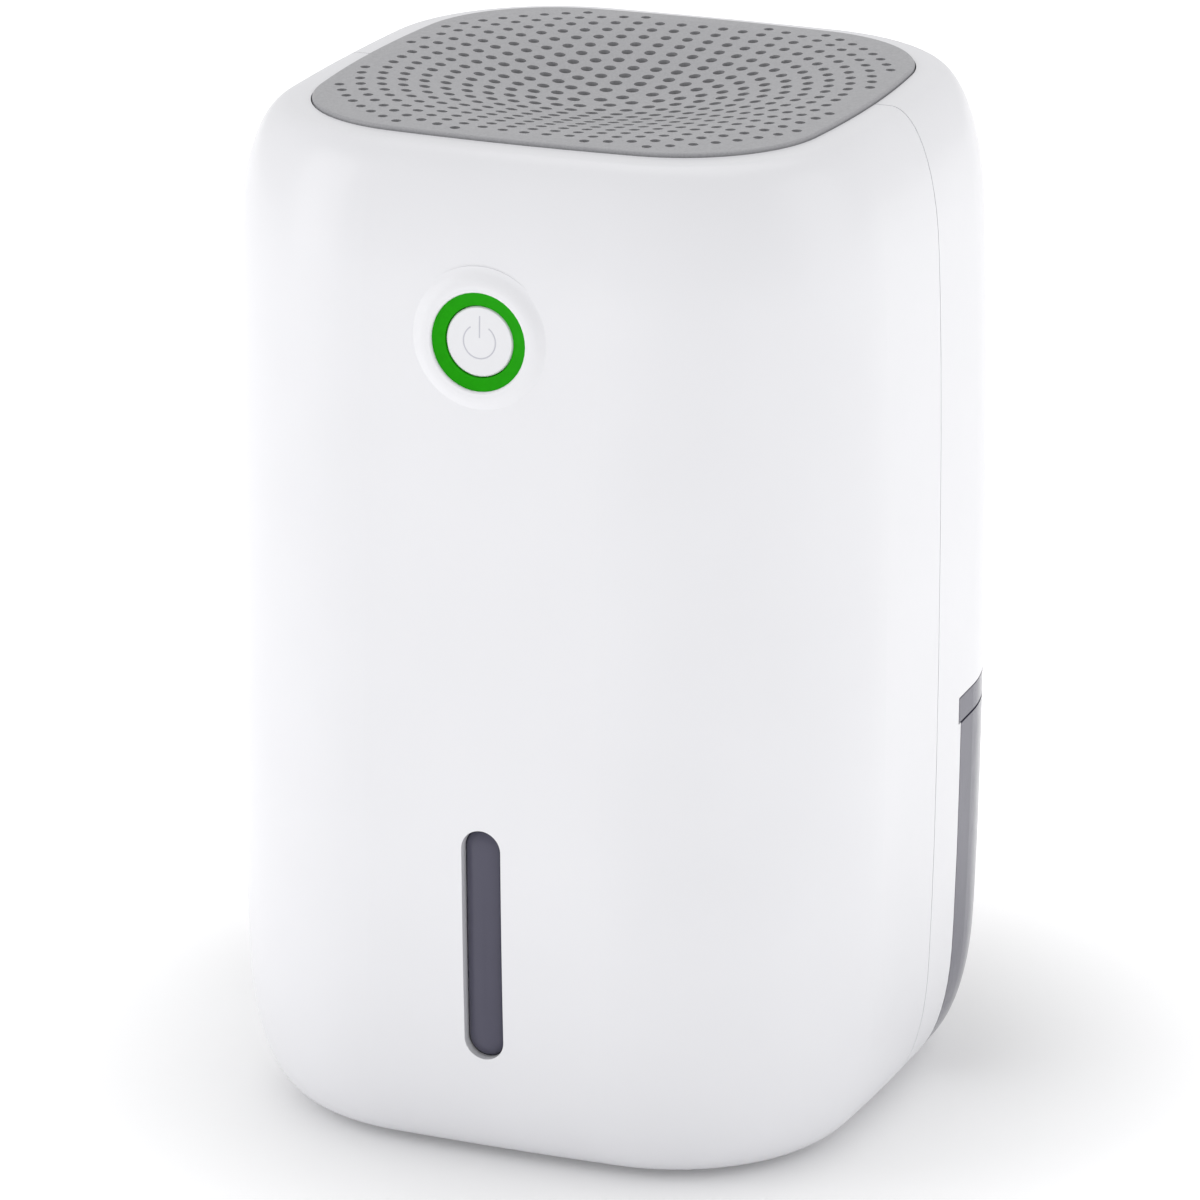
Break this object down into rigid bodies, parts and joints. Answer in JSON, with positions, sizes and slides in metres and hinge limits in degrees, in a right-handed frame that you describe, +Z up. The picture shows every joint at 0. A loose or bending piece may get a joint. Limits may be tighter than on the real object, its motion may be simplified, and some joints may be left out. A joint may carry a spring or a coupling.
{
  "type": "dehumidifier",
  "caption": "Small table-top thermoelectric dehumidifier: rounded white casing, dished grey top grille, lit power button, level slot and a smoky pull-out water tank.",
  "frame": {"origin": "middle of the footprint at floor level", "axes": "+Z up, the front with the button faces -Y, +X to the right seen from the front"},
  "size_m": [0.1488, 0.1501, 0.2259],
  "materials": {
    "white_abs": "satin gloss moulded plastic",
    "button_white": "satin moulded plastic",
    "base_white": "matt moulded plastic",
    "black_rubber": "matt rubber",
    "zinc_steel": "zinc plated",
    "bright_steel": "bright drawn",
    "magnet_steel": "nickel plated",
    "grille_grey": "fine satin moulded plastic",
    "green_diffuser": "lit green diffuser",
    "green_lens": "clear green lens",
    "circuit_board": "solder mask over glass fibre",
    "black_plastic": "fine matt moulding",
    "fan_black": "satin moulding",
    "smoky_tank": "smoky translucent polycarbonate",
    "lid_grey": "satin moulding",
    "float_white": "closed cell foam",
    "inner_grey": "matt moulding",
    "sink_aluminium": "extruded and milled",
    "white_ceramic": "lapped alumina",
    "black_foam": "open cell foam",
    "motor_copper": "enamelled copper windings",
    "capacitor_sleeve": "shrunk sleeve"
  },
  "bodies": {
    "casing": {"front_shell": "white_abs", "rear_shell": "white_abs", "base_plate": "base_white", "rubber_feet": "black_rubber", "case_screws": "zinc_steel", "top_grille": "grille_grey", "light_ring": "green_diffuser", "control_board": "circuit_board", "control_board_screws": "zinc_steel", "switch_body": "black_plastic", "ring_lights": "green_lens", "deck": "inner_grey", "drip_tray": "inner_grey", "hot_sink": "sink_aluminium", "cold_sink": "sink_aluminium", "peltier_module": "white_ceramic", "sink_gasket": "black_foam", "sink_screws": "bright_steel", "partition": "inner_grey", "fan_duct": "inner_grey", "fan_frame": "black_plastic", "fan_screws": "zinc_steel", "fan_stator": "motor_copper", "power_board": "circuit_board", "power_board_screws": "zinc_steel", "capacitors": "capacitor_sleeve", "power_coil": "motor_copper", "dc_jack": "black_plastic", "jack_nut": "bright_steel", "intake_filter": "black_foam", "level_sensor": "black_plastic"},
    "button": {"power_button": "button_white"},
    "plunger": {"switch_plunger": "black_plastic"},
    "fan": {"fan_rotor": "fan_black", "rotor_shaft": "bright_steel"},
    "tank": {"water_tank": "smoky_tank", "float_pin": "bright_steel"},
    "lid": {"tank_lid": "lid_grey"},
    "plug": {"drain_plug": "black_rubber"},
    "float_arm": {"float": "float_white", "float_magnet": "magnet_steel"}
  },
  "joints": [
    {"name": "button_press", "type": "slide", "parent": "casing", "child": "button", "axis": [0, 0.9996, -0.0293], "range_m": [0, 0.0008], "stiffness_N_per_m": 1500},
    {"name": "plunger_press", "type": "slide", "parent": "casing", "child": "plunger", "axis": [0, 0.9996, -0.0293], "range_m": [0, 0.0008]},
    {"name": "fan_spin", "type": "hinge", "parent": "casing", "child": "fan", "pos_m": [0, 0, 0.195], "axis": [0, 0, 1], "continuous": true},
    {"name": "tank_slide", "type": "slide", "parent": "casing", "child": "tank", "axis": [0, 1, 0], "range_m": [0, 0.15]},
    {"name": "lid_lift", "type": "slide", "parent": "tank", "child": "lid", "axis": [0, 0, 1], "range_m": [0, 0.009]},
    {"name": "plug_pull", "type": "slide", "parent": "lid", "child": "plug", "axis": [0, 0, 1], "range_m": [0, 0.005]},
    {"name": "float_swing", "type": "hinge", "parent": "tank", "child": "float_arm", "pos_m": [0.03, -0.052, 0.072], "axis": [1, 0, 0], "range_deg": [0, 15]}
  ],
  "couplings": [
    {"joint": "plunger_press", "follows": "button_press", "ratio": 1}
  ]
}
